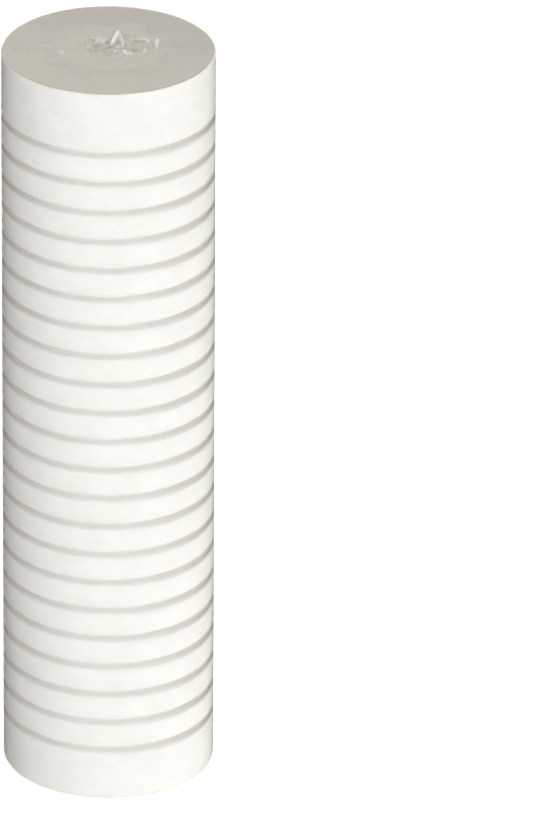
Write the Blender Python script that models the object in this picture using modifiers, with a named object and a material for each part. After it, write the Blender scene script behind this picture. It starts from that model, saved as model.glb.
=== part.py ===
"""Grooved sediment filter cartridge, nominal ten inch, in its clear shrink wrap.

The cartridge stands on its lower end. The origin is the centre of the wrap's lowest face and +Z runs up
the axis. From the bore outwards there are a moulded core, a scrim wound round the core, three plain media
layers, each coarser than the one inside it, and a grooved outer layer. At each end the media is closed by a
thin fused skin, which is the sealing face.
The wrap is one bag. It is shut over the upper end, and its mouth is shrunk in under the lower one.
"""

import math

import bmesh
import bpy
from mathutils import Matrix

MM = 0.001

# Driving dimensions
LENGTH = 247.65 * MM  # 9 3/4 in, from seal face to seal face
OUTER_RADIUS = 66.7 / 2 * MM  # 2 5/8 in diameter over the outer layer
BORE_RADIUS = 28.0 / 2 * MM
FIT_GAP = 0.3 * MM  # left between pieces that touch

# Wall thickness of each piece, from the bore outwards
CORE_WALL = 2.0 * MM
SCRIM_WALL = 0.6 * MM
FINE_WALL = 3.2 * MM
MEDIUM_WALL = 3.0 * MM
COARSE_WALL = 2.7 * MM
WRAP_WALL = 0.3 * MM

# Heights that follow from those above
LOW_FACE = WRAP_WALL + FIT_GAP
HIGH_FACE = LOW_FACE + LENGTH
HEIGHT = HIGH_FACE + FIT_GAP + WRAP_WALL
SEAL_THICKNESS = 0.8 * MM
SEAL_EDGE = 0.5 * MM  # chamfer round the rim of each sealing face
MEDIA_LOW = LOW_FACE + SEAL_THICKNESS + FIT_GAP
MEDIA_HIGH = HIGH_FACE - SEAL_THICKNESS - FIT_GAP

# Grooves cut in the outer layer
GROOVES = 22
GROOVE_PITCH = 10.0 * MM
FIRST_GROOVE_DROP = 20.8 * MM  # from the upper sealing face to the middle of the highest groove
GROOVE_DEPTH = 3.0 * MM
GROOVE_MOUTH = 2.0 * MM
GROOVE_ROOT = 0.4 * MM

# Windows in the core
WINDOW_COLUMNS = 9
WINDOW_ROWS = 10
WINDOW_PITCH = 24.0 * MM
WINDOW_WIDTH = 4.6 * MM
WINDOW_HEIGHT = 15.0 * MM

# Wrap
WRAP_SHOULDER = 1.0 * MM  # outer radius where the wrap turns over each rim
WRAP_MOUTH_RADIUS = 23.0 * MM  # the open mouth under the lower end
WRAP_SAG = 2.4 * MM  # how far the wrap is drawn into the bore at the upper end
WRAP_SAG_RADIUS = BORE_RADIUS - 1.0 * MM
SHOULDER_STEPS = 2
SAG_STEPS = 3

SIDES = 36  # facets round every turned piece
SHARP_ANGLE = math.radians(30)


def new_collection(name):
    made = bpy.data.collections.new(name)
    bpy.context.scene.collection.children.link(made)
    return made


def new_material(name, colour, roughness, alpha=1.0):
    """A Principled material that isn't metal."""
    made = bpy.data.materials.new(name)
    made.use_nodes = True
    shader = made.node_tree.nodes["Principled BSDF"]
    shader.inputs["Base Color"].default_value = (*colour, 1.0)
    shader.inputs["Roughness"].default_value = roughness
    shader.inputs["Metallic"].default_value = 0.0
    shader.inputs["Alpha"].default_value = alpha
    made.diffuse_color = (*colour, alpha)
    return made


def apply_modifiers(obj):
    """Keeps the modified mesh as the object's own, smooth but for its sharp edges."""
    graph = bpy.context.evaluated_depsgraph_get()
    mesh = bpy.data.meshes.new_from_object(obj.evaluated_get(graph))
    obj.modifiers.clear()
    obj.data = mesh
    mesh.shade_smooth()
    mesh.set_sharp_from_angle(angle=SHARP_ANGLE)


def turned(name, profile, material, collection, cutter=None):
    """A solid of revolution about Z, from (radius, height) pairs that run down its outer side.

    The last pair joins the first, unless both are on the axis.
    """
    mesh = bpy.data.meshes.new(name)
    edges = [(i, i + 1) for i in range(len(profile) - 1)]
    if profile[0][0] > 0:
        edges.append((len(profile) - 1, 0))
    mesh.from_pydata([(radius, 0.0, height) for radius, height in profile], edges, [])
    mesh.materials.append(material)
    obj = bpy.data.objects.new(name, mesh)
    collection.objects.link(obj)
    screw = obj.modifiers.new("turn", "SCREW")
    screw.steps = SIDES
    screw.render_steps = SIDES
    screw.use_merge_vertices = True
    screw.merge_threshold = 0.00001
    if cutter:
        cut = obj.modifiers.new("cut", "BOOLEAN")
        cut.operation = "DIFFERENCE"
        cut.object = cutter
    apply_modifiers(obj)
    return obj


def tube_profile(inner, wall):
    """A plain tube between the two seals."""
    outer = inner + wall
    return [(outer, MEDIA_HIGH), (outer, MEDIA_LOW), (inner, MEDIA_LOW), (inner, MEDIA_HIGH)]


def grooved_profile(inner):
    """The outer layer: a tube whose outer side has tapered grooves."""
    root_radius = OUTER_RADIUS - GROOVE_DEPTH
    profile = [(OUTER_RADIUS, MEDIA_HIGH)]
    for index in range(GROOVES):
        middle = HIGH_FACE - FIRST_GROOVE_DROP - index * GROOVE_PITCH
        profile += [
            (OUTER_RADIUS, middle + GROOVE_MOUTH / 2),
            (root_radius, middle + GROOVE_ROOT / 2),
            (root_radius, middle - GROOVE_ROOT / 2),
            (OUTER_RADIUS, middle - GROOVE_MOUTH / 2),
        ]
    return profile + [(OUTER_RADIUS, MEDIA_LOW), (inner, MEDIA_LOW), (inner, MEDIA_HIGH)]


def seal_profile(face, outward):
    """A thin washer whose sealing face is at this height and looks up (1) or down (-1)."""
    back = face - outward * SEAL_THICKNESS
    profile = [
        (OUTER_RADIUS - SEAL_EDGE, face),
        (OUTER_RADIUS, face - outward * SEAL_EDGE),
        (OUTER_RADIUS, back),
        (BORE_RADIUS, back),
        (BORE_RADIUS, face),
    ]
    return profile if outward > 0 else profile[::-1]


def shoulder(radius, height, bend, first_angle, last_angle):
    """An arc about (radius, height), as SHOULDER_STEPS straight pieces."""
    points = []
    for step in range(SHOULDER_STEPS + 1):
        angle = first_angle + (last_angle - first_angle) * step / SHOULDER_STEPS
        points.append((radius + bend * math.cos(angle), height + bend * math.sin(angle)))
    return points


def wrap_face(depth):
    """One face of the wrap, this far under its outer face: from the axis over the top to the mouth."""
    top = HEIGHT - depth
    bend = WRAP_SHOULDER - depth
    bend_radius = OUTER_RADIUS + FIT_GAP + WRAP_WALL - WRAP_SHOULDER
    points = []
    for step in range(SAG_STEPS + 1):
        share = step / SAG_STEPS
        points.append((share * WRAP_SAG_RADIUS, top - WRAP_SAG * (1 - share**2)))
    points += shoulder(bend_radius, top - bend, bend, math.pi / 2, 0.0)
    points += shoulder(bend_radius, depth + bend, bend, 0.0, -math.pi / 2)
    points.append((WRAP_MOUTH_RADIUS, depth))
    return points


def window_cutter(collection):
    """Boxes that cut the core's windows, in rows staggered by half a column."""
    middle_radius = BORE_RADIUS + CORE_WALL / 2
    first_row = (MEDIA_LOW + MEDIA_HIGH) / 2 - (WINDOW_ROWS - 1) / 2 * WINDOW_PITCH
    size = Matrix.Diagonal((2 * CORE_WALL, WINDOW_WIDTH, WINDOW_HEIGHT, 1.0))
    boxes = bmesh.new()
    for row in range(WINDOW_ROWS):
        place = Matrix.Translation((middle_radius, 0.0, first_row + row * WINDOW_PITCH))
        for column in range(WINDOW_COLUMNS):
            angle = math.tau * (column + 0.5 * (row % 2)) / WINDOW_COLUMNS
            turn = Matrix.Rotation(angle, 4, "Z")
            bmesh.ops.create_cube(boxes, size=1.0, matrix=turn @ place @ size)
    mesh = bpy.data.meshes.new("window_cutter")
    boxes.to_mesh(mesh)
    boxes.free()
    cutter = bpy.data.objects.new("window_cutter", mesh)
    collection.objects.link(cutter)
    cutter.hide_render = True
    cutter.display_type = "WIRE"
    return cutter


def main():
    for obj in list(bpy.data.objects):
        bpy.data.objects.remove(obj)
    parts = new_collection("filter_cartridge")
    cutters = new_collection("cutters")

    core_white = new_material("core_white", (0.78, 0.79, 0.77), 0.4)
    scrim_white = new_material("scrim_white", (0.80, 0.80, 0.79), 0.8)
    fine_white = new_material("fine_media_white", (0.80, 0.80, 0.77), 0.85)
    medium_white = new_material("medium_media_white", (0.83, 0.83, 0.80), 0.88)
    coarse_white = new_material("coarse_media_white", (0.86, 0.86, 0.83), 0.9)
    outer_white = new_material("outer_media_white", (0.90, 0.90, 0.88), 0.9)
    seal_grey = new_material("seal_grey", (0.56, 0.54, 0.49), 0.6)
    wrap_clear = new_material("wrap_clear", (0.92, 0.93, 0.93), 0.12, alpha=0.25)

    tubes = (
        ("core_tube", CORE_WALL, core_white, window_cutter(cutters)),
        ("core_scrim", SCRIM_WALL, scrim_white, None),
        ("fine_layer", FINE_WALL, fine_white, None),
        ("medium_layer", MEDIUM_WALL, medium_white, None),
        ("coarse_layer", COARSE_WALL, coarse_white, None),
    )
    inner = BORE_RADIUS
    for name, wall, material, cutter in tubes:
        turned(name, tube_profile(inner, wall), material, parts, cutter)
        inner += wall + FIT_GAP
    turned("outer_grooved_layer", grooved_profile(inner), outer_white, parts)

    turned("lower_end_seal", seal_profile(LOW_FACE, -1), seal_grey, parts)
    turned("upper_end_seal", seal_profile(HIGH_FACE, 1), seal_grey, parts)

    wrap_profile = wrap_face(0.0) + wrap_face(WRAP_WALL)[::-1]
    turned("shrink_wrap", wrap_profile, wrap_clear, parts)


main()
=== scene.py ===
"""Grooved sediment filter cartridge in clear shrink film, standing on a pale floor in soft studio light."""

import math

import bpy
import numpy as np
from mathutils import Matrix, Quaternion, Vector


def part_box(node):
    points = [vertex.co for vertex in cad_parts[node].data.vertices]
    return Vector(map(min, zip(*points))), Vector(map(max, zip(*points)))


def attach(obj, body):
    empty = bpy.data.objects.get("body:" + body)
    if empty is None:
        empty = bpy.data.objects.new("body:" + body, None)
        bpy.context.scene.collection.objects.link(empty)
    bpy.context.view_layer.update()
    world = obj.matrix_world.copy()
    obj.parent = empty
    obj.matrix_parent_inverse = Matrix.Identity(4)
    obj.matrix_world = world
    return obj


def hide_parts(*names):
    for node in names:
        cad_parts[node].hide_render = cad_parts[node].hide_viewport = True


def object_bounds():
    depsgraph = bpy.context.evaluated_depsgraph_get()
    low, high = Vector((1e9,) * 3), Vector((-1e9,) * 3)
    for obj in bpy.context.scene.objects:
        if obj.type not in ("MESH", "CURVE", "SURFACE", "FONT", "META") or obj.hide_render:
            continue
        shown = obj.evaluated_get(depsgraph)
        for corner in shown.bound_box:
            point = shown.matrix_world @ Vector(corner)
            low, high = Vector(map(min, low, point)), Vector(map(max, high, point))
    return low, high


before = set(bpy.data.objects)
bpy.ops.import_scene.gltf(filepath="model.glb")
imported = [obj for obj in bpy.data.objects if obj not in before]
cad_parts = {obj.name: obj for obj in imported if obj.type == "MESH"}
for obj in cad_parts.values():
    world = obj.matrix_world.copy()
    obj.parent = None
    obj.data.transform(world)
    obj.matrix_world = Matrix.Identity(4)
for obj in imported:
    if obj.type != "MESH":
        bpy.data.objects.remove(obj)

cad_low, cad_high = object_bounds()

MM = 0.001

# ---------------------------------------------------------------- sizes that the solids' boxes give
OUTER_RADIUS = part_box("outer_grooved_layer")[1].x
LOW_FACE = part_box("lower_end_seal")[0].z
HIGH_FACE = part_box("upper_end_seal")[1].z
SEAL_THICKNESS = HIGH_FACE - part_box("upper_end_seal")[0].z
MEDIA_LOW = LOW_FACE + SEAL_THICKNESS
MEDIA_HIGH = HIGH_FACE - SEAL_THICKNESS
WRAP_RADIUS = cad_high.x
WRAP_TOP = cad_high.z

# ---------------------------------------------------------------- sizes repeated from the CAD
LAYER_BORE = 27.0 * MM  # inside of the outer layer
BORE_RADIUS = 14.0 * MM
GROOVES = 22
GROOVE_PITCH = 10.0 * MM
FIRST_GROOVE = HIGH_FACE - 20.8 * MM
GROOVE_DEPTH = 3.0 * MM
WRAP_MOUTH_RADIUS = 23.0 * MM

# ---------------------------------------------------------------- where the shown surfaces lie
# The solids stand a little apart. Here the pieces touch, so each surface moves into the gap.
MEDIA_RADIUS = OUTER_RADIUS + 0.25 * MM
FACE_RISE = 0.20 * MM  # how far each skin's face stands beyond its solid's
GROOVE_HEIGHTS = [FIRST_GROOVE - i * GROOVE_PITCH for i in range(GROOVES)]
MIDDLE = Vector((0.0, 0.0, (cad_low.z + cad_high.z) / 2))

# ---------------------------------------------------------------- camera
VIEW_DISTANCE = 4.0
VIEW_ELEVATION = math.radians(26.13)
VIEW_YAW = math.radians(0.722)  # turns the camera right, so the cartridge stands left of centre
VIEW_TILT = math.radians(-0.0175)
LENS = 553.3
SENSOR_WIDTH = 36.0
CLIP = (0.1, 30.0)


def make_camera():
    back = Vector((0.0, -math.cos(VIEW_ELEVATION), math.sin(VIEW_ELEVATION)))
    data = bpy.data.cameras.new("camera")
    data.lens = LENS
    data.sensor_width = SENSOR_WIDTH
    data.clip_start, data.clip_end = CLIP
    made = bpy.data.objects.new("camera", data)
    bpy.context.scene.collection.objects.link(made)
    made.rotation_mode = "QUATERNION"
    made.location = MIDDLE + back * VIEW_DISTANCE
    turn = (-back).to_track_quat("-Z", "Y")
    turn = turn @ Quaternion((0, 1, 0), -VIEW_YAW) @ Quaternion((1, 0, 0), VIEW_TILT)
    made.rotation_quaternion = turn
    bpy.context.scene.camera = made


# ---------------------------------------------------------------- noise
RIPPLE_SPREAD = (0.55, 1.5)  # each wave's number of turns in a wavelength
RIPPLE_GAIN = 1.2


def smooth(value, low, high):
    """Rises from 0 to 1 as the value goes from low to high."""
    t = np.clip((value - low) / (high - low), 0.0, 1.0)
    return t * t * (3 - 2 * t)


def bell(distance, width):
    """1 at no distance, falling to about a third at the width."""
    return np.exp(-((distance / width) ** 2))


def ripple(points, wavelength, seed, count=14):
    """Smooth noise between about -1 and 1. points is (..., dimensions), and so may be the wavelength."""
    random = np.random.default_rng(seed)
    points = np.asarray(points) / np.asarray(wavelength)
    total = np.zeros(points.shape[:-1])
    for _ in range(count):
        way = random.normal(size=points.shape[-1])
        way *= random.uniform(*RIPPLE_SPREAD) / np.linalg.norm(way)
        total += np.cos(math.tau * (points @ way) + random.uniform(0, math.tau))
    return total / math.sqrt(count) * RIPPLE_GAIN


def folds(x, y, wavelength, slope, seed, count):
    """Flat facets between sharp straight creases, as crushed film has. Returns heights."""
    random = np.random.default_rng(seed)
    total = np.zeros_like(x)
    for index in range(count):
        angle = math.pi * (index + random.uniform(0.1, 0.9)) / count
        length = wavelength * random.uniform(0.7, 1.4)
        along = (x * math.cos(angle) + y * math.sin(angle)) / length + random.uniform(0, 1)
        total += (np.abs(along - np.floor(along) - 0.5) - 0.25) * length * slope * random.uniform(0.6, 1.3)
    return total


def crease(x, y, start, end, width):
    """A sharp crease along a line, in mm: 1 on its crest, 0 beyond its width, lower towards both ends."""
    start, end = np.array(start) * MM, np.array(end) * MM
    way = end - start
    length = np.linalg.norm(way)
    t = np.clip(((x - start[0]) * way[0] + (y - start[1]) * way[1]) / length**2, 0.0, 1.0)
    away = np.hypot(x - start[0] - t * way[0], y - start[1] - t * way[1])
    taper = 0.45 + 0.55 * np.sin(math.pi * np.clip(t, 0.08, 0.92))
    return taper * np.clip(1 - away / (width * MM), 0.0, 1.0) ** 1.2


# ---------------------------------------------------------------- meshes
def new_piece(name, verts, faces, material, replaced):
    """A piece that is shown in place of the solids it replaces."""
    mesh = bpy.data.meshes.new(name)
    mesh.from_pydata([tuple(v) for v in verts], [], faces)
    mesh.materials.append(material)
    mesh.shade_smooth()
    mesh.update()
    made = bpy.data.objects.new(name, mesh)
    bpy.context.scene.collection.objects.link(made)
    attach(made, "root")
    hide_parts(*replaced)
    return made


def add_layer(piece, name, values):
    """Stores one number for each vertex, for the material to read."""
    layer = piece.data.attributes.new(name, "FLOAT", "POINT")
    layer.data.foreach_set("value", np.clip(values, 0.0, 1.0).astype(np.float32))


def lathe_grid(profile, columns):
    """The x, y and z of a profile turned about Z, and the outward normal's radial and upward shares."""
    profile = np.array(profile)
    along = np.gradient(profile, axis=0)
    along /= np.linalg.norm(along, axis=1, keepdims=True)
    angles = np.arange(columns) * math.tau / columns
    radius, height = profile[:, :1], profile[:, 1:]
    x = radius * np.cos(angles)
    y = radius * np.sin(angles)
    z = height + 0 * angles
    return x, y, z, -along[:, 1:], along[:, :1], angles


def lathe_faces(rows, columns, wrap):
    """Quads between the rows. With wrap, the last row joins the first."""
    faces = []
    for i in range(rows if wrap else rows - 1):
        row, below = i * columns, (i + 1) % rows * columns
        for j in range(columns):
            m = (j + 1) % columns
            faces.append((row + j, below + j, below + m, row + m))
    return faces


def spread(low, high, step):
    """Values from low to high, both included, about a step apart."""
    count = max(1, round(abs(high - low) / step))
    return [low + (high - low) * i / count for i in range(count + 1)]


# ---------------------------------------------------------------- node helpers
def new_tree(name):
    made = bpy.data.materials.new(name)
    made.use_nodes = True
    made.node_tree.nodes.clear()
    return made, made.node_tree


def node(tree, kind, links=None, settings=None, **values):
    made = tree.nodes.new(kind)
    for key, value in (settings or {}).items():
        setattr(made, key, value)
    for key, value in values.items():
        made.inputs[key.replace("_", " ")].default_value = value
    for key, source in (links or {}).items():
        tree.links.new(source, made.inputs[key])
    return made


def maths(tree, operation, first, second=None, third=None, clamp=False):
    made = tree.nodes.new("ShaderNodeMath")
    made.operation = operation
    made.use_clamp = clamp
    for index, value in enumerate((first, second, third)):
        if value is None:
            continue
        if isinstance(value, (int, float)):
            made.inputs[index].default_value = value
        else:
            tree.links.new(value, made.inputs[index])
    return made.outputs[0]


def ramp(tree, factor, stops):
    """A colour ramp from (place, colour) pairs."""
    made = node(tree, "ShaderNodeValToRGB", {"Fac": factor})
    elements = made.color_ramp.elements
    while len(elements) < len(stops):
        elements.new(0.5)
    for element, (place, colour) in zip(elements, stops):
        element.position = place
        element.color = (*colour, 1.0)
    return made.outputs["Color"]


def placed(tree, scale):
    """Object coordinates times a scale."""
    coordinates = node(tree, "ShaderNodeTexCoord")
    mapping = node(tree, "ShaderNodeMapping", {"Vector": coordinates.outputs["Object"]})
    mapping.inputs["Scale"].default_value = scale
    return mapping.outputs[0]


def noise(tree, vector, scale, detail=4.0, roughness=0.55, distortion=0.0):
    made = node(
        tree,
        "ShaderNodeTexNoise",
        {"Vector": vector},
        Scale=scale,
        Detail=detail,
        Roughness=roughness,
        Distortion=distortion,
    )
    return made.outputs["Fac"]


def stored(tree, name):
    """The number that add_layer stored at each vertex."""
    return node(tree, "ShaderNodeAttribute", settings={"attribute_name": name}).outputs["Fac"]


def towards(tree, share, colour, end_colour):
    """A linked colour that turns to a plain one as the share goes from 0 to 1."""
    mix = node(tree, "ShaderNodeMix", settings={"data_type": "RGBA"})
    tree.links.new(share, mix.inputs[0])
    tree.links.new(colour, mix.inputs[6])
    mix.inputs[7].default_value = (*end_colour, 1.0)
    return mix.outputs[2]


def finish_tree(tree, surface):
    node(tree, "ShaderNodeOutputMaterial", {"Surface": surface})


# ---------------------------------------------------------------- materials
def fibre_material(name, light, dark, fibre_scale, stretch, bump, roughness=0.85, rings=False, painted_shade=None):
    """Blown polypropylene: fine matted fibres that run mostly round the axis, in soft clumps.

    The last argument is the colour of painted shade, which the colour turns to as far as the number stored
    with the mesh says.
    """
    made, tree = new_tree(name)
    around = placed(tree, (1.0, 1.0, stretch))
    even = placed(tree, (1.0, 1.0, 1.0))
    fibres = noise(tree, around, fibre_scale, 6.0, 0.7, 0.6)
    streaks = noise(tree, around, fibre_scale / 6, 4.0, 0.6, 0.8)
    clumps = noise(tree, even, fibre_scale / 14, 3.0, 0.5)
    pores = node(
        tree,
        "ShaderNodeTexVoronoi",
        {"Vector": around},
        {"feature": "F1"},
        Scale=fibre_scale * 0.8,
    ).outputs["Distance"]
    shade = maths(tree, "MULTIPLY", fibres, 0.30)
    shade = maths(tree, "MULTIPLY_ADD", streaks, 0.40, shade)
    shade = maths(tree, "MULTIPLY_ADD", clumps, 0.30, shade)
    if rings:
        wave = node(
            tree,
            "ShaderNodeTexWave",
            {"Vector": even},
            {"wave_type": "RINGS", "rings_direction": "Z", "wave_profile": "SIN"},
            Scale=420.0,
            Distortion=3.0,
            Detail=2.0,
        ).outputs["Fac"]
        shade = maths(tree, "MULTIPLY_ADD", wave, 0.10, shade)
    colour = ramp(tree, shade, [(0.38, dark), (0.64, light)])
    # painted shade: the colour darkens where the stored number is high, in the grooves and towards the back
    # of each end
    if painted_shade:
        colour = towards(tree, stored(tree, "painted_shade"), colour, painted_shade)
    height = maths(tree, "MULTIPLY_ADD", pores, -0.35, fibres)
    bumped = node(tree, "ShaderNodeBump", {"Height": height}, Strength=bump, Distance=0.25 * MM)
    shader = node(
        tree,
        "ShaderNodeBsdfPrincipled",
        {"Base Color": colour, "Normal": bumped.outputs[0]},
        Roughness=roughness,
        Metallic=0.0,
    )
    shader.inputs["Specular IOR Level"].default_value = 0.25
    finish_tree(tree, shader.outputs[0])
    return made


def moulded_material(name, light, dark):
    """Satin moulded polypropylene, with flow marks and fine grain."""
    made, tree = new_tree(name)
    around = placed(tree, (1.0, 1.0, 0.35))
    flow = noise(tree, around, 160.0, 3.0, 0.5, 0.8)
    grain = noise(tree, placed(tree, (1.0, 1.0, 1.0)), 2600.0, 3.0, 0.6)
    colour = ramp(tree, flow, [(0.32, dark), (0.7, light)])
    bumped = node(tree, "ShaderNodeBump", {"Height": grain}, Strength=0.12, Distance=0.08 * MM)
    rough = maths(tree, "MULTIPLY_ADD", flow, 0.16, 0.32)
    shader = node(
        tree,
        "ShaderNodeBsdfPrincipled",
        {"Base Color": colour, "Normal": bumped.outputs[0], "Roughness": rough},
        Metallic=0.0,
    )
    finish_tree(tree, shader.outputs[0])
    return made


PAINTED_GLINT_COLOUR = (0.98, 0.97, 0.94)  # painted glint: the colour that the film's hardest creases are turned to
THIN_MILK = (0.72, 0.70, 0.65)  # a thin haze, where the film is only shrunk
THIN_HAZE = 0.45  # below this much haze the colour is THIN_MILK
MIRROR = (0.03, 0.18)  # the share that the film mirrors face on, and what a low angle adds
GROOVE_SHADE_TINT = 0.95  # painted shade in the grooves: how much darker a low angle makes the film over each groove


def film_material(name, haze_base, haze_gather, tint, edge_tint, milk_colour):
    """Clear shrink film.

    It mirrors and tints more at a low angle. It is milky where the mesh's stored "gather" is high, has a
    painted glint where
    "crest" is, and has painted shade over the grooves: it tints still more at a low angle where the number
    stored along them is.
    """
    made, tree = new_tree(name)
    cloud = noise(tree, placed(tree, (1.0, 1.0, 0.3)), 90.0, 4.0, 0.55, 0.4)
    grain = noise(tree, placed(tree, (1.0, 1.0, 0.25)), 420.0, 3.0, 0.5)
    bumped = node(tree, "ShaderNodeBump", {"Height": grain}, Strength=0.10, Distance=0.06 * MM)
    facing = node(tree, "ShaderNodeLayerWeight", Blend=0.5).outputs["Facing"]
    steep = maths(tree, "POWER", facing, 4.0)
    mirror = maths(tree, "MULTIPLY_ADD", steep, MIRROR[1], MIRROR[0])
    edge = maths(tree, "POWER", facing, 9.0)
    # painted shade: the film over each groove tints darker at a low angle
    lean = maths(tree, "MULTIPLY", maths(tree, "POWER", facing, 2.0), GROOVE_SHADE_TINT)
    edge = maths(tree, "MULTIPLY_ADD", stored(tree, "groove_shade"), lean, edge, clamp=True)
    through = ramp(tree, edge, [(0.0, tint), (1.0, edge_tint)])
    clear = node(tree, "ShaderNodeBsdfTransparent", {"Color": through})
    gloss = node(tree, "ShaderNodeBsdfAnisotropic", {"Normal": bumped.outputs[0]}, Roughness=0.26)
    gloss.inputs["Color"].default_value = (1.0, 1.0, 1.0, 1.0)
    pane = node(tree, "ShaderNodeMixShader", {"Fac": mirror, 1: clear.outputs[0], 2: gloss.outputs[0]})
    haze = maths(tree, "MULTIPLY_ADD", cloud, haze_base, haze_base * 0.4)
    haze = maths(tree, "MULTIPLY_ADD", stored(tree, "gather"), haze_gather, haze, clamp=True)
    tone = ramp(tree, haze, [(0.0, THIN_MILK), (THIN_HAZE, THIN_MILK), (1.0, milk_colour)])
    # painted glint: the creases turn near white
    tone = towards(tree, stored(tree, "crest"), tone, PAINTED_GLINT_COLOUR)
    milk = node(
        tree,
        "ShaderNodeBsdfPrincipled",
        {"Base Color": tone, "Normal": bumped.outputs[0]},
        Roughness=0.16,
        Metallic=0.0,
    )
    mixed = node(tree, "ShaderNodeMixShader", {"Fac": haze, 1: pane.outputs[0], 2: milk.outputs[0]})
    finish_tree(tree, mixed.outputs[0])
    return made


# ---------------------------------------------------------------- the media
MEDIA_COLUMNS = 160
SKIN_COLUMNS = 144
LIP = 0.25 * MM  # the media's edge that stands round each fused skin
OUT_OF_ROUND = 0.045 * MM
FUZZ = 0.024 * MM
GROOVE_WAVER = 0.055 * MM  # how far each groove wanders up and down
MEDIA_INSET = 0.05 * MM  # keeps the uneven surface under the film
SKIN_SWELL = 0.03 * MM
SKIN_GRAIN = 0.015 * MM
SKIN_INSET = 0.04 * MM
GROOVE_SHAPE = (
    (2.0, 0.0),
    (1.6, 0.03),
    (1.3, 0.10),
    (1.1, 0.25),
    (0.95, 0.5),
    (0.82, 0.9),
    (0.65, 1.6),
    (0.42, 2.4),
    (0.15, 3.0),
    (-0.1, 3.0),
    (-0.35, 2.3),
    (-0.62, 1.55),
    (-0.88, 0.95),
    (-1.15, 0.50),
    (-1.42, 0.22),
    (-1.75, 0.07),
    (-2.1, 0.0),
)  # height from the middle and depth, in mm: both lips are round


def groove_rows(middle):
    """One groove's part of the profile, from its upper lip down."""
    return [(MEDIA_RADIUS - depth * MM, middle + up * MM) for up, depth in GROOVE_SHAPE]


def make_media(material):
    """The outer layer: grooves with soft, slightly wavy lips in a body that isn't quite round."""
    top, bottom = HIGH_FACE + FACE_RISE, LOW_FACE - FACE_RISE
    inner = MEDIA_RADIUS - LIP
    edge = [(inner, 0.04 * MM), (inner + 0.08 * MM, 0.0), (inner + 0.16 * MM, 0.02 * MM)]
    edge += [(MEDIA_RADIUS - 0.02 * MM, 0.12 * MM), (MEDIA_RADIUS, 0.26 * MM)]
    profile = [(LAYER_BORE, MEDIA_HIGH), (inner, MEDIA_HIGH)]
    profile += [(radius, top - drop) for radius, drop in edge]
    above = top - edge[-1][1]
    for middle in GROOVE_HEIGHTS:
        rows = groove_rows(middle)
        profile += [(MEDIA_RADIUS, h) for h in spread(above, rows[0][1], 2.0 * MM)[1:-1]]
        profile += rows
        above = rows[-1][1]
    below = bottom + edge[-1][1]
    profile += [(MEDIA_RADIUS, h) for h in spread(above, below, 2.0 * MM)[1:-1]]
    profile += [(radius, bottom + rise) for radius, rise in reversed(edge)]
    profile += [(inner, MEDIA_LOW), (LAYER_BORE, MEDIA_LOW)]
    profile += [(LAYER_BORE, h) for h in spread(MEDIA_LOW, MEDIA_HIGH, 12.0 * MM)[1:-1]]
    x, y, z, _, _, angles = lathe_grid(profile, MEDIA_COLUMNS)
    points = np.stack([x, y, z], -1)
    outer = (np.array(profile)[:, :1] > inner - GROOVE_DEPTH) * 1.0
    body = ripple(points, (30 * MM, 30 * MM, 45 * MM), 11) * OUT_OF_ROUND
    fuzz = ripple(points, (3.4 * MM, 3.4 * MM, 1.7 * MM), 12, 24) * FUZZ
    wave = ripple(points, (9 * MM, 9 * MM, 30 * MM), 13) * GROOVE_WAVER
    radial = (body + fuzz - MEDIA_INSET) * outer
    grow = 1 + radial / np.hypot(x, y)
    points[..., 0] *= grow
    points[..., 1] *= grow
    inside = ((z > MEDIA_LOW + 4.0 * MM) & (z < MEDIA_HIGH - 4.0 * MM)) * 1.0
    points[..., 2] += wave * inside
    verts = points.reshape(-1, 3)
    faces = lathe_faces(len(profile), MEDIA_COLUMNS, True)
    made = new_piece("media_outer", verts, faces, material, ["outer_grooved_layer"])
    # painted shade: darker from each groove's lip down towards its root
    depth = (MEDIA_RADIUS - np.array(profile)[:, :1]) / GROOVE_DEPTH + 0 * angles
    add_layer(made, "painted_shade", (smooth(depth, 0.02, 0.85) * (depth < 1.1)).ravel())


def make_skin(name, face, outward, material, replaced):
    """A fused skin: a slightly uneven face with a soft edge round the bore, with painted shade that darkens
    it towards the back.
    """
    back = face - outward * SEAL_THICKNESS
    face += outward * FACE_RISE
    profile = [(BORE_RADIUS, back), (BORE_RADIUS, face - outward * 0.25 * MM)]
    profile += [(BORE_RADIUS + 0.08 * MM, face - outward * 0.08 * MM)]
    flat = MEDIA_RADIUS - LIP - 0.01 * MM
    profile += [(r, face) for r in spread(BORE_RADIUS + 0.25 * MM, flat - 0.10 * MM, 0.9 * MM)]
    profile += [(flat, face - outward * 0.06 * MM), (flat, back)]
    profile += [(r, back) for r in spread(MEDIA_RADIUS - 2 * MM, BORE_RADIUS + 2 * MM, 4.0 * MM)]
    if outward < 0:
        profile = profile[::-1]
    x, y, z, _, _, _ = lathe_grid(profile, SKIN_COLUMNS)
    points = np.stack([x, y, z], -1)
    on_face = (np.abs(z - face) < 0.02 * MM) * 1.0
    swell = ripple(points[..., :2], 9 * MM, 21, 16) * SKIN_SWELL
    fine = ripple(points[..., :2], 2.2 * MM, 22, 24) * SKIN_GRAIN
    points[..., 2] += outward * (swell + fine - SKIN_INSET) * on_face
    verts = points.reshape(-1, 3)
    faces = lathe_faces(len(profile), SKIN_COLUMNS, True)
    made = new_piece(name, verts, faces, material, [replaced])
    # painted shade: each end turns darker towards +Y, the back, and a little towards +X
    drift = verts[:, 1] + 0.35 * verts[:, 0] + 5 * MM * ripple(verts[:, :2], 16 * MM, 23)
    add_layer(made, "painted_shade", smooth(drift, -26 * MM, 36 * MM))


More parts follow.
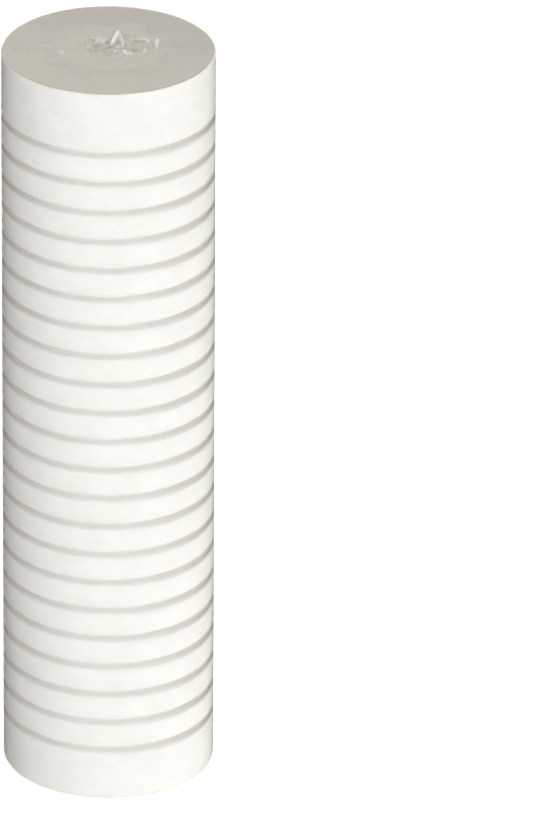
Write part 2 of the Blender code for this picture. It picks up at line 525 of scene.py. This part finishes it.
# ---------------------------------------------------------------- the film
FILM_COLUMNS = 176
FILM_THICKNESS = 0.08 * MM
FILM_SIDE = WRAP_RADIUS - 0.08 * MM
FILM_TOP = WRAP_TOP - 0.12 * MM
FILM_BEND = 0.55 * MM
FILM_LOW = 0.12 * MM  # the film's underside stands this high
FILM_FLAT = FILM_SIDE - FILM_BEND  # where each end's flat part turns into the side
TOP_HAZE = 0.45  # the end was shrunk hardest, so the film is a little hazy all over it
GATHER = (2.6 * MM, 3.0 * MM)  # where the film has drawn together over the bore
GATHER_SIZE = (16.5 * MM, 13.5 * MM)
SAG = 0.35 * MM  # how far it hangs into the bore
REST = 0.16 * MM  # how far under its flat level it meets the skin
GROOVE_DIP = 0.030 * MM  # how far it is drawn into each groove
END_PLEATS = 0.10 * MM  # depth of the pleats near both ends of the side
HEM_LIFT = 0.32 * MM  # the most that the mouth's hem stands off the lower skin
CREASES = (
    ((3.1, 12.2), (0.9, 3.2), 2.3, 1.3, 1.0),
    ((3.1, 12.2), (4.7, 3.6), 1.6, 1.2, 0.50),
    ((4.6, -0.2), (5.5, -2.4), 0.8, 1.0, 0.9),
    ((-5.2, 8.8), (-2.0, 7.2), 0.8, 1.3, 0.40),
    ((-3.0, 10.2), (-4.0, 4.4), 0.7, 1.1, 0.35),
    ((-1.6, 5.2), (-0.6, 8.4), 0.6, 1.0, 0.30),
    ((9.2, 7.6), (12.8, 6.2), 0.9, 1.1, 0.50),
    ((15.5, 7.6), (15.1, 1.6), 1.0, 1.0, 0.65),
    ((8.4, 1.2), (12.4, 2.6), 0.6, 1.3, 0.12),
    ((-1.4, -1.8), (2.6, -4.8), 0.5, 1.1, 0.12),
    ((-23.4, 3.8), (-18.4, 1.6), 0.35, 1.5, 0.25),
    ((-15.4, -0.8), (-14.2, -3.6), 0.30, 1.2, 0.25),
)  # start, end, height and half width in mm, and how strong the painted glint on the crease is


def film_gather(x, y):
    """1 in the middle of the drawn-together film over the bore, 0 outside it."""
    away = np.hypot((x - GATHER[0]) / GATHER_SIZE[0], (y - GATHER[1]) / GATHER_SIZE[1])
    return 1 - smooth(away, 0.30, 1.05)


def film_lift(x, y):
    """How far the shut end of the bag stands above or below its flat level."""
    r = np.hypot(x, y)
    points = np.stack([x, y], -1)
    gather = film_gather(x, y)
    sag = -SAG * np.clip(1 - (r / (BORE_RADIUS - 0.5 * MM)) ** 2, 0.0, 1.0)
    crush = folds(x, y, 5.2 * MM, 0.15, 31, 4) + folds(x, y, 2.3 * MM, 0.13, 32, 4)
    crush += 0.12 * MM * ripple(points, 5.0 * MM, 33)
    peaks = np.zeros_like(r)
    for start, end, height, width, _ in CREASES:
        peaks = np.maximum(peaks, height * MM * crease(x, y, start, end, width))
    lift = sag + gather * crush + peaks
    seam_away = y - film_seam_y(x)
    pucker = ripple(x[..., None], 2.4 * MM, 35) * 0.05 * MM * bell(seam_away, 2.4 * MM)
    pucker += 0.10 * MM * bell(seam_away, 1.3 * MM)
    edge = smooth(r, 24 * MM, 32 * MM)
    ears = bell(seam_away, 5.0 * MM) * smooth(np.abs(x), 23 * MM, 31 * MM)
    lift += pucker + ears * folds(x, y, 3.2 * MM, 0.12, 36, 3)
    lift += ripple(points, 14 * MM, 37) * 0.06 * MM * (1 - 0.6 * edge)
    lift += ripple(points, 4.5 * MM, 38, 20) * 0.020 * MM
    lift = lift * (1 - smooth(r, 31.0 * MM, 33.2 * MM) * 0.85)
    # it rests on the skin, and hangs free only over the bore
    rest = -REST - 3.0 * MM * (1 - smooth(r, BORE_RADIUS - 1.5 * MM, BORE_RADIUS))
    return rest + 0.5 * (lift - rest + np.sqrt((lift - rest) ** 2 + (0.06 * MM) ** 2))


def film_milk(x, y):
    """How milky the film on the end is: dense over the bore, patchy in creases, thin elsewhere."""
    r = np.hypot(x, y)
    points = np.stack([x, y], -1)
    patches = np.clip(0.5 + 0.6 * ripple(points, 5.5 * MM, 61, 18), 0.0, 1.0)
    reach = (7.0 + 2.5 * ripple(points, 13 * MM, 62)) * MM
    edge = BORE_RADIUS + 0.2 * MM
    over_bore = 1 - smooth(r, edge, edge + reach)
    creased = film_gather(x, y) * (0.25 + 0.5 * patches)
    weld = bell(y - film_seam_y(x), 2.6 * MM) * (0.06 + 0.40 * patches * smooth(-x, 5 * MM, 12 * MM))
    return np.maximum(TOP_HAZE + (1 - TOP_HAZE) * over_bore, np.maximum(creased, weld))


def film_painted_glint(x, y):
    """How far the film's hardest creases are turned to the painted glint colour."""
    crest = np.zeros_like(x)
    for start, end, _, width, white in CREASES:
        crest = np.maximum(crest, white * smooth(crease(x, y, start, end, width), 0.12, 0.55))
    return crest


def film_seam_y(x):
    """The weld across the shut end: nearly straight, pulled aside a little over the bore."""
    return 0.6 * MM + 1.6 * MM * np.sin(x / (13 * MM) + 0.7)


def film_dip(angle, z):
    """How far the film on the side is drawn inwards."""
    around = angle * FILM_SIDE
    points = np.stack([np.cos(angle) * FILM_SIDE, np.sin(angle) * FILM_SIDE, z], -1)
    dip = np.zeros_like(z)
    for middle in GROOVE_HEIGHTS:
        dip += GROOVE_DIP * bell(z - middle, 1.3 * MM)
    dip += 0.022 * MM * ripple(points, (9 * MM, 9 * MM, 70 * MM), 41)
    dip += 0.006 * MM * ripple(points, (4 * MM, 4 * MM, 16 * MM), 42, 20)
    near_end = bell(z - FILM_TOP, 7 * MM) + bell(z, 8 * MM)
    pleats = around / (4.6 * MM) + 0.5 * ripple(points, 18 * MM, 43)
    dip += near_end * END_PLEATS * np.abs(pleats - np.floor(pleats) - 0.5)
    return dip


def film_bend(level, side):
    """The turn between an end's flat part and the side, whose flat part is at this level."""
    turn = []
    for step in range(1, 6):
        angle = math.pi / 2 * step / 6
        drop = FILM_BEND * (1 - math.cos(angle))
        turn.append((FILM_FLAT + FILM_BEND * math.sin(angle), level - side * drop))
    return turn


def film_profile():
    """From near the axis over the upper end, down the side and in to the mouth, closest at the grooves."""
    rows = [(r, FILM_TOP) for r in spread(0.4 * MM, 15.2 * MM, 0.4 * MM)]
    rows += [(r, FILM_TOP) for r in spread(15.2 * MM, FILM_FLAT, 0.8 * MM)[1:]]
    rows += film_bend(FILM_TOP, 1)
    above = FILM_TOP - FILM_BEND
    rows.append((FILM_SIDE, above))
    for middle in GROOVE_HEIGHTS:
        near = [middle + offset * MM for offset in (2.0, 1.3, 0.65, 0.0, -0.65, -1.3, -2.0)]
        rows += [(FILM_SIDE, h) for h in spread(above, near[0], 1.5 * MM)[1:-1]]
        rows += [(FILM_SIDE, h) for h in near]
        above = near[-1]
    rows += [(FILM_SIDE, h) for h in spread(above, FILM_LOW + FILM_BEND, 1.5 * MM)[1:]]
    rows += film_bend(FILM_LOW, -1)[::-1]
    rows += [(r, FILM_LOW) for r in spread(FILM_FLAT, WRAP_MOUTH_RADIUS, 0.7 * MM)]
    return rows


def make_film(material):
    """The bag: closed over the upper end, tight on the side, open under the lower end."""
    profile = film_profile()
    x, y, z, out, up, angles = lathe_grid(profile, FILM_COLUMNS)
    radius = np.array(profile)[:, :1]
    height = np.array(profile)[:, 1:]
    turn = angles + 0 * radius
    on_top = height > FILM_TOP - FILM_BEND
    under = height < FILM_LOW + 0.01 * MM
    lift = film_lift(x, y)
    dip = film_dip(turn, z)
    side_share = np.clip(out, 0.0, 1.0)
    top_share = np.where(on_top, np.clip(up, 0.0, 1.0), 0.0)
    shift = dip * side_share
    x = x - np.cos(turn) * shift
    y = y - np.sin(turn) * shift
    z = z + lift * top_share
    # the hem of the mouth under the lower end is crinkled
    points = np.stack([x, y], -1)
    hem = smooth(-radius, -30 * MM, -WRAP_MOUTH_RADIUS)
    crinkle = np.abs(ripple(points, 5.0 * MM, 51, 18)) * 0.22 * MM * hem
    z = np.where(under, z + np.clip(crinkle, 0.0, HEM_LIFT), z)
    waver = ripple(np.stack([np.cos(turn), np.sin(turn)], -1), 0.35, 52) * 0.9 * MM * hem
    grow = np.where(under, 1 + waver / np.maximum(radius, 1 * MM), 1.0)
    x, y = x * grow, y * grow
    verts = np.stack([x, y, z], -1).reshape(-1, 3)
    faces = lathe_faces(len(profile), FILM_COLUMNS, False)
    pole = len(verts)
    middle = np.zeros((1,))
    verts = np.vstack([verts, [[0.0, 0.0, FILM_TOP + film_lift(middle, middle)[0]]]])
    for j in range(FILM_COLUMNS):
        faces.append((pole, j, (j + 1) % FILM_COLUMNS))
    made = new_piece("film", verts, faces, material, ["shrink_wrap"])
    away = np.hypot(verts[:, 0], verts[:, 1])
    on_end = 1 - smooth(away, FILM_FLAT - 0.12 * MM, FILM_SIDE - 0.07 * MM)
    top = (verts[:, 2] > FILM_TOP - 1.5 * MM) * on_end
    # painted glint along the hardest creases
    crest = film_painted_glint(verts[:, 0], verts[:, 1]) * top
    milk = np.maximum(film_milk(verts[:, 0], verts[:, 1]) * top, crest)
    add_layer(made, "gather", milk)
    add_layer(made, "crest", crest)
    # painted shade: a number along each groove, for the film's darker tint there
    groove_shade = np.zeros_like(verts[:, 2])
    for middle in GROOVE_HEIGHTS:
        groove_shade += bell(verts[:, 2] - middle, 1.0 * MM)
    add_layer(made, "groove_shade", groove_shade)
    thick = made.modifiers.new("thickness", "SOLIDIFY")
    thick.thickness = FILM_THICKNESS
    thick.offset = -1.0


SEAM_SECTION = ((-0.42, -0.04), (-0.30, 0.02), (0.0, 0.04), (0.30, 0.02), (0.42, -0.04), (0.0, -0.09))


def seam_side(sign):
    """The weld's points and normals down one side, from the top."""
    points = []
    for height in spread(FILM_TOP - FILM_BEND, FILM_LOW + FILM_BEND, 1.6 * MM):
        angle = 0.0 if sign > 0 else math.pi
        dip = film_dip(np.array([angle]), np.array([height]))[0]
        points.append((sign * (FILM_SIDE - dip), 0.0, height))
    return points, [(float(sign), 0.0, 0.0)] * len(points)


def seam_top():
    """The weld's points and normals across the shut end, from -X to +X."""
    x = np.array(spread(-FILM_FLAT, FILM_FLAT, 0.45 * MM))
    y = film_seam_y(x) * (1 - smooth(np.abs(x), 24 * MM, FILM_FLAT))
    z = FILM_TOP + film_lift(x, y)
    return list(zip(x.tolist(), y.tolist(), z.tolist())), [(0.0, 0.0, 1.0)] * len(x)


def make_seam(material):
    """The weld that joins the two sheets of the bag: across the shut end and down both sides."""
    left, left_normals = seam_side(-1)
    top, top_normals = seam_top()
    right, right_normals = seam_side(1)
    points = left[::-1] + top + right
    normals = left_normals + top_normals + right_normals
    count = len(points)
    verts = []
    for i in range(count):
        way = (Vector(points[min(i + 1, count - 1)]) - Vector(points[max(i - 1, 0)])).normalized()
        across = way.cross(Vector(normals[i])).normalized()
        up = across.cross(way).normalized()
        wobble = 1 + 0.18 * math.sin(i * 1.7) * math.sin(i * 0.37)
        for a, b in SEAM_SECTION:
            verts.append(Vector(points[i]) + across * (a * MM * wobble) + up * (b * MM))
    size = len(SEAM_SECTION)
    faces = []
    for i in range(0, (count - 1) * size, size):
        for j in range(size):
            k = (j + 1) % size
            faces.append((i + j, i + k, i + size + k, i + size + j))
    faces.append(tuple(range(size))[::-1])
    faces.append(tuple((count - 1) * size + j for j in range(size)))
    made = new_piece("film_seam", verts, faces, material, ["shrink_wrap"])
    add_layer(made, "gather", np.full(len(verts), 0.6))


# ---------------------------------------------------------------- studio
WORLD_LEVEL = 0.235
WORLD_COLOUR = (1.0, 0.975, 0.925)
WORLD_RISE = 0.15  # how much brighter the world is overhead
FLOOR_GLOW = 0.50
FLOOR_COLUMNS = 64
FLOOR_FLAT = 3.4  # radius of the floor's flat part
FLOOR_BEND = 1.0
WALL_HEIGHT = 3.0
# name, azimuth, elevation, distance, width and height, power, colour, and whether glossy film mirrors it
LIGHTS = (
    ("key", 0, 8, 3.2, 2.4, 119.0, (0.99, 0.99, 1.0), False),
    ("bounce", 95, -48, 2.6, 1.2, 60.0, (1.0, 0.99, 0.96), False),
    ("rear", 180, 28, 3.2, 2.0, 66.0, (1.0, 0.985, 0.95), False),
    ("rear_left", -130, 24, 3.2, 1.2, 32.0, (1.0, 0.985, 0.94), False),
    ("rear_right", 132, 24, 3.2, 1.2, 38.0, (1.0, 0.99, 0.96), False),
    ("spark", 184, 58, 2.4, 0.70, 9.0, (1.0, 1.0, 1.0), True),
)


def area_light(name, azimuth, elevation, distance, size, power, colour, mirrored):
    """A square light that faces the cartridge's middle. Azimuth 0 is the front, -Y, and 90 is +X."""
    data = bpy.data.lights.new(name, "AREA")
    data.shape = "SQUARE"
    data.size = size
    data.energy = power
    data.color = colour
    made = bpy.data.objects.new(name, data)
    bpy.context.scene.collection.objects.link(made)
    a, e = math.radians(azimuth), math.radians(elevation)
    back = Vector((math.sin(a) * math.cos(e), -math.cos(a) * math.cos(e), math.sin(e)))
    made.location = MIDDLE + back * distance
    made.rotation_mode = "QUATERNION"
    made.rotation_quaternion = (-back).to_track_quat("-Z", "Y")
    made.visible_camera = False
    made.visible_glossy = mirrored


def make_world():
    world = bpy.data.worlds.new("studio")
    bpy.context.scene.world = world
    world.use_nodes = True
    tree = world.node_tree
    tree.nodes.clear()
    way = node(tree, "ShaderNodeTexCoord").outputs["Generated"]
    parts = node(tree, "ShaderNodeSeparateXYZ", {0: way})
    level = maths(tree, "MULTIPLY_ADD", parts.outputs["Z"], WORLD_RISE, 1.0)
    strength = maths(tree, "MULTIPLY", level, WORLD_LEVEL)
    light = node(tree, "ShaderNodeBackground", {"Strength": strength})
    light.inputs["Color"].default_value = (*WORLD_COLOUR, 1.0)
    node(tree, "ShaderNodeOutputWorld", {"Surface": light.outputs[0]})


def make_floor():
    """A pale sweep: flat round the cartridge, then up to a wall. Only a camera inside it sees it."""
    made, tree = new_tree("pale_sweep")
    grain = noise(tree, placed(tree, (1.0, 1.0, 1.0)), 60.0, 3.0)
    colour = ramp(tree, grain, [(0.3, (0.84, 0.84, 0.83)), (0.7, (0.86, 0.86, 0.85))])
    shader = node(tree, "ShaderNodeBsdfPrincipled", {"Base Color": colour}, Roughness=0.9)
    shader.inputs["Emission Color"].default_value = (1.0, 1.0, 0.995, 1.0)
    shader.inputs["Emission Strength"].default_value = FLOOR_GLOW
    shader.inputs["Specular IOR Level"].default_value = 0.1
    behind = node(tree, "ShaderNodeNewGeometry").outputs["Backfacing"]
    nothing = node(tree, "ShaderNodeBsdfTransparent").outputs[0]
    one_way = node(tree, "ShaderNodeMixShader", {"Fac": behind, 1: shader.outputs[0], 2: nothing})
    finish_tree(tree, one_way.outputs[0])
    profile = [(r, 0.0) for r in (0.3, 1.0, 2.0, FLOOR_FLAT)]
    for step in range(1, 9):
        angle = math.pi / 2 * step / 8
        profile.append((FLOOR_FLAT + FLOOR_BEND * math.sin(angle), FLOOR_BEND * (1 - math.cos(angle))))
    profile.append((FLOOR_FLAT + FLOOR_BEND, FLOOR_BEND + WALL_HEIGHT))
    x, y, z, _, _, _ = lathe_grid(profile, FLOOR_COLUMNS)
    verts = np.stack([x, y, z], -1).reshape(-1, 3)
    faces = lathe_faces(len(profile), FLOOR_COLUMNS, False)
    verts = np.vstack([verts, [[0.0, 0.0, 0.0]]])
    for j in range(FLOOR_COLUMNS):
        faces.append((len(verts) - 1, j, (j + 1) % FLOOR_COLUMNS))
    mesh = bpy.data.meshes.new("floor")
    mesh.from_pydata([tuple(v) for v in verts], [], faces)
    mesh.materials.append(made)
    mesh.shade_smooth()
    floor = bpy.data.objects.new("floor", mesh)
    bpy.context.scene.collection.objects.link(floor)
    floor.visible_diffuse = False
    floor.visible_glossy = False
    floor.visible_transmission = False
    floor.visible_shadow = False


def main():
    scene = bpy.context.scene
    scene.view_settings.view_transform = "Standard"
    scene.view_settings.look = "None"
    make_camera()

    # the media's last colour is painted shade for the grooves
    media = fibre_material(
        "outer_fibre", (0.92, 0.92, 0.905), (0.84, 0.84, 0.82), 1500.0, 3.2, 0.16, painted_shade=(0.83, 0.825, 0.80)
    )
    # the end's last colour is painted shade, strongest at the back of each end
    face = fibre_material(
        "fused_end",
        (0.77, 0.75, 0.69),
        (0.69, 0.67, 0.61),
        1100.0,
        1.0,
        0.25,
        roughness=0.6,
        rings=True,
        painted_shade=(0.38, 0.37, 0.345),
    )
    film = film_material(
        "clear_film", 0.015, 0.92, (0.985, 0.985, 0.98), (0.62, 0.61, 0.58), (0.53, 0.515, 0.465)
    )
    weld = film_material(
        "film_weld", 0.01, 0.05, (0.995, 0.995, 0.99), (0.90, 0.89, 0.87), (0.80, 0.785, 0.74)
    )
    make_media(media)
    make_skin("end_skin_upper", HIGH_FACE, 1, face, "upper_end_seal")
    make_skin("end_skin_lower", LOW_FACE, -1, face, "lower_end_seal")
    make_film(film)
    make_seam(weld)

    core = moulded_material("core_plastic", (0.80, 0.81, 0.79), (0.74, 0.75, 0.73))
    scrim = fibre_material("scrim_cloth", (0.82, 0.82, 0.81), (0.70, 0.70, 0.69), 1800.0, 1.0, 0.5)
    fine = fibre_material("fine_fibre", (0.83, 0.83, 0.80), (0.76, 0.76, 0.73), 2600.0, 3.0, 0.3)
    medium = fibre_material("medium_fibre", (0.86, 0.86, 0.83), (0.78, 0.78, 0.76), 2000.0, 3.0, 0.35)
    coarse = fibre_material("coarse_fibre", (0.89, 0.89, 0.86), (0.80, 0.80, 0.78), 1500.0, 3.0, 0.4)
    carried = {
        "core_tube": core,
        "core_scrim": scrim,
        "fine_layer": fine,
        "medium_layer": medium,
        "coarse_layer": coarse,
    }
    for name, material in carried.items():
        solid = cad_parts[name]
        solid.data.materials.clear()
        solid.data.materials.append(material)
        for slot in solid.material_slots:
            slot.material = material

    make_floor()
    make_world()
    for light in LIGHTS:
        area_light(*light)


main()
